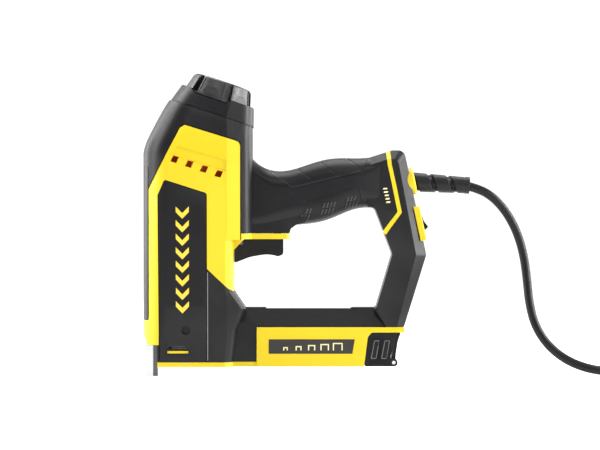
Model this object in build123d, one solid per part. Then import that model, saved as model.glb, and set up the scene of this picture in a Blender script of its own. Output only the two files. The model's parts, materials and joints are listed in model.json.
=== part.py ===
from build123d import *
import math
import os

os.makedirs("parts", exist_ok=True)

# A corded electric staple gun, in millimetres.
# +X points from the nose to the mains cord, +Z up, and Y across the tool (left side at -Y).
# z = 0 is the working face of the nose. x = 0 is the middle of the tool's length.

# ---- Driving dimensions ----
HEAD_FRONT = -110.0  # flat front of the head
HEAD_REAR = -25.5  # rear wall of the head, above the trigger
BODY_REAR = -40.0  # rear wall of the lower body, behind the trigger finger
CREASE_X = -44.6  # where the side starts to turn in towards the rear
HEAD_HALF = 30.5  # half width at the top of the head
FOOT_HALF = 22.0  # half width at the bottom of the body
BASE_BOTTOM = 7.8  # underside of the magazine
BODY_BOTTOM = 11.6  # underside of the black housing
SHOULDER_Z = 170.0  # above this the head's front leans back
PANEL = 2.6  # thickness of the colour panels let into the housing
WALL = 5.2  # outer surface to the inside of the housing
SEAM = 0.2  # half of the visible gap round each panel

TILT = 18.5  # the cap and the power dial lean back by this angle, degrees
CAP_X, CAP_Z = -56.9, 203.3  # middle of the joint between head and cap
CAP_LENGTH, CAP_WIDTH, CAP_HEIGHT = 67.0, 60.5, 14.4
RIM_LENGTH, RIM_WIDTH = 58.6, 56.6
DIAL_R, DIAL_TOP_R = 26.1, 22.3
DIAL_BASE, DIAL_TOP = 11.4, 26.8  # heights above the cap's joint
DIAL_LOBES = 6

HANDLE_HALF = 17.5
STRUT_HALF = 14.8
STRUT_FLAT = 8.5  # half width of the strut's rear face, between its bevels
BAR_HALF = 14.0
BAR_TOP = 52.6
BLOCK_TOP = 38.4  # top of the yellow magazine block
BLOCK_HALF = 14.6
BLOCK_FRONT, BLOCK_REAR = -22.0, 61.0

COIL_X = -68.0  # axis of the solenoid, plunger and return spring
YOKE_BOTTOM, YOKE_TOP = 108.0, 182.0
WINDING_R = 21.0
PLUNGER_R = 8.0

STAPLE_WIDTH = 10.6
STAPLE_TOP, STAPLE_BOTTOM = 21.0, 11.0
RAIL_HALF = 4.0
RAIL_TOP = 19.6
NOSE_FRONT, NOSE_REAR = -110.6, -102.6
NOSE_HALF = 7.2

CORD_D = 7.0
RING_X, RING_Y = 306.0, 15.0  # centre of the wound-up cord
RING_COLUMNS, RING_LAYERS = 2, 4
RING_MEAN_R = 39.0
PLUG_HEADING = 22.2  # degrees from +X

PIVOT_X, PIVOT_Z = -34.0, 103.5  # trigger pin
LATCH_X, LATCH_Z = 84.1, 10.9  # latch pin
REAR_LEAN = 12.1  # the strut's rear face leans out by this angle below the handle


# ---- Helpers ----
def outline(*corners):
    """Closed flat shape from corners (a, b) or (a, b, radius)."""
    points = [corner[:2] for corner in corners]
    radii = [corner[2] if len(corner) == 3 else 0 for corner in corners]
    return make_face(FilletPolyline(*points, radius=radii, close=True))


def across(face, y0, y1):
    """Extrude a flat (x, z) shape across the tool, from y0 to y1."""
    return extrude(Plane.XZ.offset(-y1) * face, y1 - y0)


def both(face, half):
    return across(face, -half, half)


def box(x0, x1, y0, y1, z0, z1):
    centre = Pos((x0 + x1) / 2, (y0 + y1) / 2, (z0 + z1) / 2)
    return centre * Box(x1 - x0, y1 - y0, z1 - z0)


def rod(start, end, radius):
    """Cylinder from one point to another."""
    a, b = Vector(*start), Vector(*end)
    frame = Plane(origin=a, z_dir=b - a)
    return extrude(frame * Circle(radius), (b - a).length)


def left_and_right(part):
    """The -Y half of a part that spans the middle, and its +Y half."""
    size = 600
    left = part & (Pos(0, -size / 2, 0) * Box(2 * size, size, 2 * size))
    right = part & (Pos(0, size / 2, 0) * Box(2 * size, size, 2 * size))
    return left, right


def save(name, *solids):
    """Write a node as one STEP file and print its volume."""
    pieces = [s for item in solids for s in item.solids()]
    shape = pieces[0] if len(pieces) == 1 else Compound(children=pieces)
    shape.label = name
    export_step(shape, f"parts/{name}.step")
    print(f"{name}: {len(pieces)} solid(s), {sum(p.volume for p in pieces) / 1000:.2f} cm3")


# ---- The head and lower body, as one smooth form that can be drawn in by a skin ----
def half_width(z):
    share = min(max((z - BASE_BOTTOM) / (SHOULDER_Z - BASE_BOTTOM), 0), 1)
    return FOOT_HALF + share * (HEAD_HALF - FOOT_HALF)


def slice_at(z, front, rear, drop, rear_r, skin):
    """Horizontal slice: round front corners, flat flanks, rear edges turned in by `drop`."""
    w = half_width(z) - skin
    front_r = 0.72 * half_width(z) - skin
    rear_radius = max(rear_r - skin, 0.8)
    crease = min(CREASE_X, rear - 6) - skin
    return Pos(0, 0, z) * outline(
        (front + skin, -w, front_r),
        (crease, -w, 2),
        (rear - skin, drop - w, rear_radius),
        (rear - skin, w - drop, rear_radius),
        (crease, w, 2),
        (front + skin, w, front_r),
    )


def head(skin=0.0):
    """Head above the trigger, its shoulder leaning back to the cap."""
    drop, rear_r = 5.6, 11.0
    shaft = loft(
        [
            slice_at(z, HEAD_FRONT, HEAD_REAR, drop, rear_r, skin)
            for z in (106.0, SHOULDER_Z)
        ],
        ruled=True,
    )
    lean = [(SHOULDER_Z, -110.0), (177.0, -109.2), (184.0, -106.6), (200.0, -98.4), (219.0, -85.6)]
    shoulder = loft([slice_at(z, x, HEAD_REAR, drop, rear_r, skin) for z, x in lean])
    above = Pos(CAP_X, 0, CAP_Z) * Rot(0, TILT, 0) * Pos(0, 0, 50) * Box(200, 200, 100)
    return shaft + shoulder - above


def lower_body(skin=0.0):
    """Body below the trigger; its rear wall swells out where it meets the magazine bar."""
    rears = [
        (BODY_BOTTOM, -40.4),
        (36.0, -37.6),
        (BAR_TOP, -30.5),
        (66.5, BODY_REAR),
        (107.0, BODY_REAR),
    ]
    return loft([slice_at(z, HEAD_FRONT, x, 3.4, 6.0, skin) for z, x in rears], ruled=True)


def nose_cut():
    """What is cut away under the body's front, where the steel nose stands."""
    return both(
        outline(
            (-116, 5), (-98.4, 5), (-98.4, 24.7), (-106.2, 24.7), (-108.6, 31.6), (-116, 31.6)
        ),
        40,
    )


def body(skin=0.0):
    return head(skin) + lower_body(skin) - nose_cut()


# ---- The handle, strut and bar ----
def handle_slice(x, top, bottom, half, radius, skin):
    height = top - bottom - 2 * skin
    face = RectangleRounded(2 * (half - skin), height, radius - skin)
    return Plane(
        origin=(x, 0, (top + bottom) / 2), x_dir=(0, 1, 0), z_dir=(1, 0, 0)
    ) * face


def handle(skin=0.0):
    stations = [
        (-30.0, 176.0, 112.0, 16.5, 10.0),
        (-20.0, 164.2, 113.0, 17.0, 11.0),
        (-7.0, 159.4, 115.0, HANDLE_HALF, 12.5),
        (10.0, 161.8, 117.6, HANDLE_HALF, 14.0),
        (30.0, 168.0, 120.6, 17.8, 15.0),
        (50.0, 169.4, 128.4, 17.6, 15.0),
        (64.0, 169.8, 130.9, 16.2, 13.0),
        (73.0, 171.2, 131.0, STRUT_HALF, 9.0),
    ]
    return loft([handle_slice(*station, skin) for station in stations])


def strut_outlines():
    """The strut's outline at its middle, and the smaller one of its flat sides."""
    inner = [
        (64.0, 136.0),
        (64.0, 131.3),
        (69.2, 131.1, 4.8),
        (83.0, 94.8, 5.0),
        (70.8, 54.2, 3.5),
        (68.9, BAR_TOP - 0.2),
        (78.6, BLOCK_TOP),
    ]
    full = inner + [
        (92.3, BLOCK_TOP),
        (109.6, 94.3, 6.0),
        (92.4, 175.4, 6.0),
        (83.0, 175.4, 8.0),
        (66.0, 170.0),
    ]
    flat = inner + [
        (86.4, BLOCK_TOP),
        (101.3, 94.6, 5.0),
        (87.2, 168.4, 4.0),
        (80.0, 168.4, 6.0),
        (66.0, 164.0),
    ]
    return outline(*full), outline(*flat)


def strut(skin=0.0):
    full, flat = strut_outlines()
    if skin:
        full, flat = offset(full, -skin), offset(flat, -skin)
    inner_half, outer_half = STRUT_FLAT - 0.4 * skin, STRUT_HALF - skin
    core = both(full, inner_half)
    bevels = [
        loft(
            [Plane.XZ.offset(side * inner_half) * full, Plane.XZ.offset(side * outer_half) * flat],
            ruled=True,
        )
        for side in (-1, 1)
    ]
    return core + bevels[0] + bevels[1]


def bar():
    """Black bar over the magazine, bevelled on both sides, with a shallow dip in its top."""
    section = outline(
        (-BAR_HALF, BLOCK_TOP),
        (-BAR_HALF + 0.8, BLOCK_TOP + 1.0),
        (-7.5, BAR_TOP + 1.0, 1.5),
        (7.5, BAR_TOP + 1.0, 1.5),
        (BAR_HALF - 0.8, BLOCK_TOP + 1.0),
        (BAR_HALF, BLOCK_TOP),
    )
    beam = extrude(Plane(origin=(-46, 0, 0), x_dir=(0, 1, 0), z_dir=(1, 0, 0)) * section, 130)
    dip = outline((-15, 60), (-15, 53.2), (-11.2, 46.6), (46.3, 46.6), (51.3, 53.2), (51.3, 60))
    lowered = extrude(
        Plane(origin=(-46, 0, -1.0), x_dir=(0, 1, 0), z_dir=(1, 0, 0)) * section, 130
    )
    beam -= both(dip, 20) - lowered
    root = both(
        outline((-46, BODY_BOTTOM), (BLOCK_FRONT - 0.3, BODY_BOTTOM), (BLOCK_FRONT - 0.3, 42), (-46, 42)),
        BAR_HALF,
    )
    return beam + root


def trigger_block():
    """Under the front of the handle, over the trigger."""
    side = outline(
        (-42, 111.0),
        (3.4, 111.0, 0.8),
        (4.2, 114.4, 3.0),
        (8.6, 117.6, 4.0),
        (16.0, 119.6),
        (16.0, 134.0),
        (-42, 134.0),
    )
    return both(side, 15.5)


# ---- Regions of the colour panels, as (x, z) outlines; `gap` draws them in ----
def side_region(gap):
    """Outer edge of the yellow side panel."""
    g = gap
    return outline(
        (-105.6 + g, 31.9 + g),
        (-105.6 + g, 145.0),
        (-79.2 + g, 195.0 - g, 4.0),
        (-34.2 - g, 181.2 - g, 4.0),
        (-34.2 - g, 104.0 + g),
        (-39.6 - g, 97.8),
        (-39.6 - g, 66.2 + g),
        (-43.8, 68.2 + g, 2.0),
        (-60.2, 83.6 + g),
        (-60.2, 32.0 + g),
    )


def inset_region(gap):
    g = gap
    return outline(
        (-96.8 + g, BODY_BOTTOM + 0.2),
        (-97.7 + g, 140.2),
        (-92.3 + g, 151.8 - g, 2.0),
        (-60.4 - g, 141.6 - g, 2.0),
        (-60.4 - g, BODY_BOTTOM + 0.2),
    )


def foot_region():
    """The yellow toe that wraps round the front, above the steel nose."""
    return outline((-112, 30.9), (-108.4, 30.9), (-106.3, 24.9), (-97.4, 24.9), (-97.4, 43.8), (-112, 43.8))


def vents():
    """Four slanted vents and the shallow field above them."""
    cells = []
    for k in range(4):
        x = -84.7 + 11.27 * k
        z = 167.8 - 3.73 * k
        cells.append(
            outline((x - 3.4, z - 1.6), (x + 1.3, z - 2.9), (x + 3.4, z + 1.8), (x - 1.0, z + 2.9))
        )
    return cells


# ---- Frames of the leaning parts ----
CAP_FRAME = Pos(CAP_X, 0, CAP_Z) * Rot(0, TILT, 0)


def rear_face(z):
    """Frame on the strut's rear face: local Z out of the face, local X up along it."""
    x = 92.4 + (175.4 - z) * math.tan(math.radians(REAR_LEAN))
    lean = math.radians(REAR_LEAN)
    return Plane(
        origin=(x, 0, z),
        x_dir=(-math.sin(lean), 0, math.cos(lean)),
        z_dir=(math.cos(lean), 0, math.sin(lean)),
    )


BOOT_START, BOOT_END = (91.5, 0, 151.4), (143.6, 0, 148.2)
SWITCH_FRAME = rear_face(118.5)
PIN_R = 1.5  # trigger pin


BODY = body()
BODY_CORE = body(PANEL)
HANDLE = handle()
STRUT = strut()
VENT_DEPTH = 20.0  # the vents are cut from the outside in to this half width

# ---- Housing halves ----
def screw_places():
    return [
        (-33.0, 186.0),
        (-76.4, 36.4),
        (-33.5, 46.0),
        (4.5, 136.5),
        (96.0, 96.0),
        (78.5, 138.5),
        (82.0, 49.0),
    ]


SCREW_R, SCREW_HEAD_R = 1.6, 3.2


def screw_depths(x, z):
    """Half width of the housing at a screw."""
    if x < -50:
        return half_width(z) - 0.4
    if x < BODY_REAR + 7 and z < 60:
        return 13.6
    if x < 0:
        return half_width(z) - 5.0
    return STRUT_HALF if x > 70 else 16.8


def trigger_arms(gap):
    """The side panels' arms along both sides of the trigger."""
    g = gap
    arm = outline(
        (-41, 98.0 - g),
        (-39.9, 98.0 - g),
        (-31.6 + g, 106.5 - g),
        (3.4 + g, 106.5 - g, 0.8),
        (3.4 + g, 110.8 + g, 0.8),
        (-41, 110.8 + g),
    )
    plan = Pos(0, 0, 90) * extrude(
        outline(
            (-40.9, 9.0 - g),
            (3.4 + g, 9.0 - g),
            (3.4 + g, 15.6 + g, 3),
            (-25, 16.4 + g),
            (-40.9, 16.4),
        ),
        40,
    )
    flank = BODY - box(-60, 0, g - 9.0, 9.0 - g, 90, 120)
    arms = both(arm, 40) & (plan + mirror(plan, Plane.XZ) + flank)
    arms -= BODY_CORE - box(-39.9, 10, -40, 40, 90, 111)
    return arms - rod((PIVOT_X, -13, PIVOT_Z), (PIVOT_X, 13, PIVOT_Z), PIN_R)


def housing():
    outer = BODY + HANDLE + STRUT + bar() + trigger_block()
    full, _ = strut_outlines()
    hollow = body(WALL) + box(-104.8, -45.4, -15, 15, BODY_BOTTOM - 1, 30)
    hollow += handle(3.6)
    hollow += box(-34, -20, -9, 9, 124, 150)
    hollow += both(offset(full, -4.5), 10.4)
    hollow += box(BODY_REAR - 6, 74, -8.2, 8.2, BLOCK_TOP - 1, BAR_TOP - 5.5)
    hollow += box(-50, BLOCK_FRONT + 4, -8.2, 8.2, BODY_BOTTOM - 1, 30)
    shell = outer - (hollow & outer)
    for x, z in screw_places():
        shell += outer & rod((x, -40, z), (x, 40, z), 4.2)
    # The cavities that parts move in or pass through.
    shell -= box(-107.4, -103, -5.7, 5.7, 24, 116)
    shell -= box(-112, -99, -7.6, 7.6, 20, 30.6)
    shell -= box(-40.7, 3.6, -8.8, 8.8, 100, 121)
    shell -= box(-39.9, 8.0, -8.8, 8.8, 80, 111.1)
    shell -= rod((PIVOT_X, -13, PIVOT_Z), (PIVOT_X, 13, PIVOT_Z), PIN_R)
    shell -= both(outline((-90.0, 21.2), (-75.4, 21.2), (-76.8, 23.4), (-89.0, 23.4)), 40)
    # Pockets for the panels let into the surface.
    ring = BODY - BODY_CORE
    pocket = both(side_region(-SEAM), 40) + both(inset_region(-SEAM), 40)
    pocket += both(foot_region(), 40)
    pocket += both(outline((-116, 43.4), (-105.2, 43.4), (-105.2, 162.4), (-116, 162.4)), 40)
    shell -= ring & pocket
    for cell in vents():
        shell -= both(offset(cell, 0.8), 40) - both(offset(cell, 1.0), VENT_DEPTH)
    shell -= both(outline((-31.8, 104), (3.7, 104), (3.7, 111), (-31.8, 111)), 20)
    shell -= trigger_arms(0.1)
    shell -= box(-32.5, -25, -40, 40, 105.8, 106.45)
    # Openings in the strut's rear face.
    shell -= rod(BOOT_START, BOOT_END, 8.2)
    shell -= rear_face(151.3) * Pos(0, 0, -3.2) * extrude(Circle(10.7), 12)
    shell -= SWITCH_FRAME * Pos(0, 0, -8) * Box(23, 14.6, 26)
    shell -= SWITCH_FRAME * Pos(0, 0, 4.6) * Box(27.4, 23.4, 14)
    for x, z in screw_places():
        w = screw_depths(x, z)
        shell -= rod((x, -w + 5, z), (x, w + 20, z), SCREW_R)
        shell -= rod((x, w - 3.2, z), (x, w + 20, z), SCREW_HEAD_R + 0.3)
    shell -= handle_patches(0.28, 1.6)
    shell -= accent(0.12, 1.3)
    return shell


def handle_patches(gap, depth):
    """Soft grip patches let into the handle: one over the top, one for the fingers."""
    g = gap
    skin = HANDLE - handle(depth)
    top = outline(
        (-14 - g, 172), (-11.5 - g, 158.0), (5.3, 145.6 - g, 1.5), (59.0 + g, 158.4 - g, 1.5), (66.0 + g, 172)
    )
    under = outline(
        (10.0 - g, 112), (10.0 - g, 122), (17.0, 134.0 + g, 2.0), (56.0 + g, 147.0 + g, 2.0), (62.0 + g, 126)
    )
    patches = (skin & both(top, 30)) + (skin & both(under, 30))
    if gap == 0:
        face = HANDLE - handle(0.7)
        for x, z, dx, dz in ((10.0, 159.9, 9.3, -6.4), (26.4, 166.9, 11.7, -9.4), (46.7, 169.4, 10.1, -7.0)):
            groove = outline((x - 3, z + 3), (x - 2.3, z + 3), (x + dx + 0.7, z + dz), (x + dx, z + dz))
            patches -= face & both(groove, 30)
    return patches


def accent(gap, depth):
    """Bent yellow strip round the back of the handle."""
    g = gap
    skin = STRUT - strut(depth)
    band = outline(
        (77.6 - g, 180),
        (79.3 - g, 164.2),
        (82.4 - g, 150.2),
        (87.0 - g, 127.6, 1.5),
        (75.4 - g, 112.4 - g),
        (77.9 + g, 110.0 - 3 * g),
        (90.3 + g, 127.0, 1.5),
        (85.6 + g, 150.0),
        (82.4 + g, 164.2),
        (80.8 + g, 180),
    )
    return skin & both(band, 30)


shell = housing()
housing_left, housing_right = left_and_right(shell)
save("housing_left", housing_left)
save("housing_right", housing_right)

# ---- Colour panels ----
RING = BODY - BODY_CORE


def make_side_panels():
    frame = both(side_region(SEAM), 40) - both(inset_region(-SEAM), 40)
    panel = RING & (frame & (both(outline((-105.4, 20), (0, 20), (0, 200), (-105.4, 200)), 40)))
    toe = RING & both(foot_region(), 40)
    toe -= both(inset_region(-SEAM), 40)
    toe -= box(-112, -102, -7.6, 7.6, 20, 30.6)
    panel += toe
    for cell in vents():
        panel -= both(cell, 40)
    field = outline((-82.5, 178.0), (-45.2, 167.2), (-45.2, 158.6), (-88.0, 171.2))
    panel -= both(field, 40) & (BODY - body(0.7))
    return panel + trigger_arms(0)


side_left, side_right = left_and_right(make_side_panels())
save("side_panel_left", side_left)
save("side_panel_right", side_right)

inset = RING & both(inset_region(SEAM), 40)
recess_x, recess_z = screw_places()[1]
inset -= rod((recess_x, -40, recess_z), (recess_x, 40, recess_z), 3.5)
window = outline((-91.2, 18.0), (-74.0, 18.0), (-74.3, 20.8), (-76.6, 23.8), (-89.0, 23.8), (-91.0, 20.8))
inset -= both(window, 40)
inset_left, inset_right = left_and_right(inset)
save("inset_panel_left", inset_left)
save("inset_panel_right", inset_right)

front = RING & both(outline((-112, 44.1), (-105.7, 44.1), (-105.7, 162.2), (-112, 162.2)), 40)
save("front_cover", front)

grip_left, grip_right = left_and_right(handle_patches(0, 1.5))
save("grip_left", grip_left)
save("grip_right", grip_right)
accent_left, accent_right = left_and_right(accent(0, 1.2))
save("accent_left", accent_left)
save("accent_right", accent_right)


# ---- Cap, power dial and potentiometer, all on one leaning axis ----
def cap_level(length, width, inset, h):
    x, w = length / 2 - inset, width / 2 - inset
    return CAP_FRAME * Pos(0, 0, h) * outline(
        (-x, -w, 21 - inset),
        (12.0 - inset, -w, 3),
        (x, 5.2 - w, 11 - inset),
        (x, w - 5.2, 11 - inset),
        (12.0 - inset, w, 3),
        (-x, w, 21 - inset),
    )


def across_cap(face, v0, v1):
    """Extrude a flat (u, h) shape across the cap, u along its slope and h up its axis."""
    return extrude(CAP_FRAME * (Plane.XZ.offset(-v1) * face), v1 - v0)


def make_cap():
    base, rim = (CAP_LENGTH, CAP_WIDTH), (RIM_LENGTH, RIM_WIDTH)
    cap = loft([cap_level(*base, 0, SEAM_H), cap_level(*rim, 0, CAP_HEIGHT)], ruled=True)
    cap += loft([cap_level(*base, 1.3, 0), cap_level(*base, 1.3, SEAM_H + 0.1)], ruled=True)
    cap -= loft([cap_level(*base, 3.2, 0), cap_level(*rim, 3.6, 8.0)], ruled=True)
    cap -= CAP_FRAME * Pos(0, 0, DIAL_BASE - 0.4) * extrude(Circle(DIAL_R + 0.5), 10)
    cap -= CAP_FRAME * extrude(Circle(SHAFT_R + 0.1), 20)
    notch = outline((-22.4, 14.6), (-16.3, 10.6), (8.5, 10.6), (12.5, 14.6))
    wedge = outline((-16.3, 10.7), (-13.7, 5.3), (5.2, 5.3), (8.5, 10.7))
    slope = extrude(
        CAP_FRAME * Plane.YZ.offset(-20) * outline((23.6, 10.7), (29.6, 5.3), (40, 5.3), (40, 10.7)), 40
    )
    for side in (-1, 1):
        near, far = sorted((side * 17, side * 40))
        cap -= across_cap(notch, near, far)
        scoop = across_cap(wedge, near, far) & (slope if side > 0 else mirror(slope, Plane.XZ))
        cap -= scoop
    return cap


SHAFT_R = 3.0
SEAM_H = 0.7  # shadow gap under the cap


def make_dial():
    profile = outline(
        (0, DIAL_BASE),
        (DIAL_R, DIAL_BASE),
        (DIAL_R, DIAL_BASE + 2.6),
        (DIAL_TOP_R, DIAL_TOP, 2.4),
        (16.5, DIAL_TOP),
        (15.5, DIAL_TOP - 1.0),
        (0, DIAL_TOP - 1.0),
    )
    knob = revolve(Plane.XZ * profile, Axis.Z)
    groove = both(outline((22.4, 13.2), (30, 13.2), (30, 30), (18.6, 30)), 2.9)
    pocket = both(outline((25.2, 13.9), (30, 13.9), (30, 19.4), (24.1, 19.4)), 6.6)
    for k in range(DIAL_LOBES):
        turn = 360 / DIAL_LOBES
        knob -= Rot(0, 0, -72.5 + k * turn) * groove
        knob -= Rot(0, 0, -72.5 + (k + 0.5) * turn) * pocket
    knob += Pos(9.5, 0, DIAL_TOP - 0.6) * Box(9, 2.2, 0.8)
    knob -= extrude(Circle(SHAFT_R), 21.0)
    return CAP_FRAME * knob


def make_potentiometer():
    can = Pos(0, 0, -15) * extrude(Circle(8.5), 8) + Pos(0, 0, -7) * extrude(Circle(4.0), 7)
    tabs = Pos(9.5, 0, -13) * Box(7, 9, 1.2)
    return CAP_FRAME * (can + tabs - Pos(0, 0, -12) * extrude(Circle(SHAFT_R + 0.05), 20))


save("top_cap", make_cap())
save("power_dial", make_dial())
save("dial_shaft", CAP_FRAME * Pos(0, 0, -11.5) * extrude(Circle(SHAFT_R), 32.5))
save("dial_potentiometer", make_potentiometer())


# ---- Solenoid, plunger and driver ----
def upright(x, z0, z1, radius):
    return rod((x, 0, z0), (x, 0, z1), radius)


def spring(start, axis, x_dir, length, radius, wire, turns):
    """Helical compression spring along an axis."""
    frame = Plane(origin=start, z_dir=axis, x_dir=x_dir)
    path = Helix(pitch=length / turns, height=length, radius=radius)
    section = Plane(origin=path @ 0, z_dir=path % 0) * Circle(wire / 2)
    return frame.location * sweep(section, path=path, is_frenet=True)


BORE_R = PLUNGER_R + 0.5
BOBBIN_BOTTOM, BOBBIN_TOP = YOKE_BOTTOM + 4, YOKE_TOP - 4
BRACKET_Z = 100.0
BLADE_X = -107.1
BLADE_T = 1.2
BLADE_TIP = 22.5
ROD_R = 4.0
GUIDE_Z = 58.0

yoke = box(COIL_X - 26, COIL_X + 26, -14, 14, YOKE_BOTTOM, YOKE_TOP)
yoke -= box(COIL_X - 22, COIL_X + 22, -15, 15, BOBBIN_BOTTOM, BOBBIN_TOP)
yoke -= upright(COIL_X, YOKE_BOTTOM - 1, BOBBIN_BOTTOM + 1, BORE_R + 0.3)
save("solenoid_yoke", yoke)

bobbin = upright(COIL_X, BOBBIN_BOTTOM, BOBBIN_TOP, 10.0)
bobbin += upright(COIL_X, BOBBIN_BOTTOM, BOBBIN_BOTTOM + 2.5, WINDING_R + 0.4)
bobbin += upright(COIL_X, BOBBIN_TOP - 2.5, BOBBIN_TOP, WINDING_R + 0.4)
bobbin -= upright(COIL_X, BOBBIN_BOTTOM - 1, BOBBIN_TOP + 1, BORE_R)
save("solenoid_bobbin", bobbin)

winding = upright(COIL_X, BOBBIN_BOTTOM + 2.5, BOBBIN_TOP - 2.5, WINDING_R)
winding -= upright(COIL_X, BOBBIN_BOTTOM, BOBBIN_TOP, 10.0)
save("solenoid_winding", winding)

PLUNGER_BOTTOM, PLUNGER_TOP = 118.0, 172.0
plunger = upright(COIL_X, PLUNGER_BOTTOM, PLUNGER_TOP, PLUNGER_R)
plunger += upright(COIL_X, 70.0, PLUNGER_BOTTOM, ROD_R)
save("plunger", plunger)
save("bumper", upright(COIL_X, PLUNGER_TOP + 1.0, BOBBIN_TOP, BORE_R - 0.2))

blade = box(BLADE_X, BLADE_X + BLADE_T, -5.2, 5.2, BLADE_TIP, BRACKET_Z + 3.5)
blade += box(BLADE_X, COIL_X + 8, -5.2, 5.2, BRACKET_Z, BRACKET_Z + 3.5)
blade += upright(COIL_X, BRACKET_Z, BRACKET_Z + 3.5, 8.0)
blade -= upright(COIL_X, BRACKET_Z - 1, BRACKET_Z + 5, ROD_R)
save("driver_blade", blade)

guide_plate = Pos(0, 0, GUIDE_Z) * extrude(
    outline((-104.6, -16, 13), (-45.5, -16, 2), (-45.5, 16, 2), (-104.6, 16, 13)), 4
)
guide_plate -= upright(COIL_X, GUIDE_Z - 1, GUIDE_Z + 5, ROD_R + 0.1)
save("guide_plate", guide_plate)
SPRING_WIRE = 1.6
save(
    "return_spring",
    spring(
        (COIL_X, 0, GUIDE_Z + 4 + SPRING_WIRE / 2),
        (0, 0, 1),
        (1, 0, 0),
        BRACKET_Z - GUIDE_Z - 4 - SPRING_WIRE,
        6.2,
        SPRING_WIRE,
        8,
    ),
)

# ---- Nose ----
nose = box(NOSE_FRONT, NOSE_REAR, -NOSE_HALF, NOSE_HALF, 0, 30)
nose -= box(-107.4, NOSE_REAR + 1, -5.7, 5.7, -1, 31)
nose = chamfer(nose.edges().filter_by(Axis.Z).group_by(Axis.X)[0], 1.2)
save("nose_plate", nose)

guide = box(-105.5, -99.2, -5.6, 5.6, 0, 9.8) + box(-105.5, -99.2, -5.6, 5.6, 22.3, 34)
for side in (-1, 1):
    near, far = sorted((side * 5.5, side * 7.2))
    guide += box(-102.4, -99.4, near, far, 0, 34)
save("driver_guide", guide)


# ---- Magazine: yellow housing, staples, drawer with its rail and end cap ----
def make_magazine():
    block = both(
        outline(
            (BLOCK_FRONT, BASE_BOTTOM),
            (BLOCK_REAR, BASE_BOTTOM, 0.8),
            (64.0, 30.6),
            (66.9, 34.2, 3.0),
            (92.2, 34.2, 0.8),
            (92.3, BLOCK_TOP - 0.1, 0.8),
            (BLOCK_FRONT, BLOCK_TOP - 0.1, 2.0),
        ),
        BLOCK_HALF,
    )
    block -= box(BLOCK_FRONT - 1, 72, -10.8, 10.8, 10.3, 34.2)
    base = extrude(slice_at(BASE_BOTTOM, HEAD_FRONT, -40.4, 3.4, 6.0, 0), 3.7)
    base += box(-46, BLOCK_FRONT + 1, -BAR_HALF, BAR_HALF, BASE_BOTTOM, BASE_BOTTOM + 3.7)
    base -= box(-120, -98.4, -40, 40, 0, 20)
    base -= box(-99, BLOCK_FRONT + 2, -7.3, 7.3, 10.3, 12)
    whole = block + base
    for side in (-1, 1):
        near, far = sorted((side * (BLOCK_HALF - LABEL_T), side * 20))
        whole -= across(label_outline(0.15), near, far)
    return whole


LABEL_T = 0.8


def label_outline(gap):
    return outline(
        (-12.6 - gap, 17.9 - gap),
        (51.8 + gap, 17.9 - gap),
        (53.8 + gap, 28.9 + gap),
        (-12.6 - gap, 28.9 + gap),
    )


save("magazine_housing", make_magazine())
save("label_left", across(label_outline(0), -BLOCK_HALF - 0.1, -BLOCK_HALF + LABEL_T))
save("label_right", across(label_outline(0), BLOCK_HALF - LABEL_T, BLOCK_HALF + 0.1))

STRIP_FRONT, STRIP_REAR = -105.3, -40.3
strip = box(STRIP_FRONT, STRIP_REAR, -STAPLE_WIDTH / 2, STAPLE_WIDTH / 2, STAPLE_BOTTOM, STAPLE_TOP)
strip -= box(STRIP_FRONT - 1, STRIP_REAR + 1, -4.3, 4.3, STAPLE_BOTTOM - 1, STAPLE_TOP - 1.15)
save("staple_strip", strip)

RAIL_FRONT, RAIL_REAR = -98.9, 66.0
ROD_Z = 15.0
rail = box(RAIL_FRONT, RAIL_REAR, -RAIL_HALF, RAIL_HALF, 10.6, RAIL_TOP)
rail -= box(RAIL_FRONT + 3, RAIL_REAR - 3, -3.1, 3.1, 9, RAIL_TOP - 0.9)
rail -= box(-93, 44, -1.4, 1.4, 12, 21)
save("magazine_rail", rail)
save("pusher_rod", rod((RAIL_FRONT + 3, 0, ROD_Z), (RAIL_REAR - 3, 0, ROD_Z), 1.5))

pusher = box(-40.0, -24.0, -5.1, 5.1, 11.0, 23.5) - box(-41, -23, -4.3, 4.3, 9, 19.9)
pusher += box(-34, -28, -2.7, 2.7, 12.6, 18.3) + box(-34, -28, -1.2, 1.2, 18, 20)
pusher -= rod((-41, 0, ROD_Z), (-20, 0, ROD_Z), 1.6)
save("pusher", pusher)
save("pusher_spring", spring((-27.5, 0, ROD_Z), (1, 0, 0), (0, 1, 0), 90.0, 2.3, 0.6, 34))


def make_end_cap():
    cap = both(
        outline(
            (61.5, 8.0, 0.8),
            (64.4, 31.0),
            (67.3, 33.8, 2.6),
            (86.1, 33.8),
            (82.7, 20.0, 8.0),
            (80.6, 12.0),
            (80.6, 8.0),
        ),
        BLOCK_HALF,
    )
    for side in (-1, 1):
        near, far = sorted((side * 10.2, side * BLOCK_HALF))
        cap += across(outline((79, 8.0), (84.1, 8.0), (84.1, 13.8), (79, 13.8)), near, far)
        cap += rod((LATCH_X, near, LATCH_Z), (LATCH_X, far, LATCH_Z), 3.0)
        for x in (67.2, 75.0):
            rib = outline((x - 1.6, 13.2), (x + 3.1, 13.2), (x + 5.9, 28.4), (x + 1.2, 28.4))
            near_rib, far_rib = sorted((side * (BLOCK_HALF - 1), side * (BLOCK_HALF + 0.6)))
            cap += across(rib, near_rib, far_rib)
    cap -= rod((LATCH_X, -20, LATCH_Z), (LATCH_X, 20, LATCH_Z), 1.4)
    cap -= rod((LATCH_X, -10.2, LATCH_Z), (LATCH_X, 10.2, LATCH_Z), 3.5)
    cap -= box(60, RAIL_REAR, -RAIL_HALF, RAIL_HALF, 10.6, RAIL_TOP)
    return cap


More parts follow.
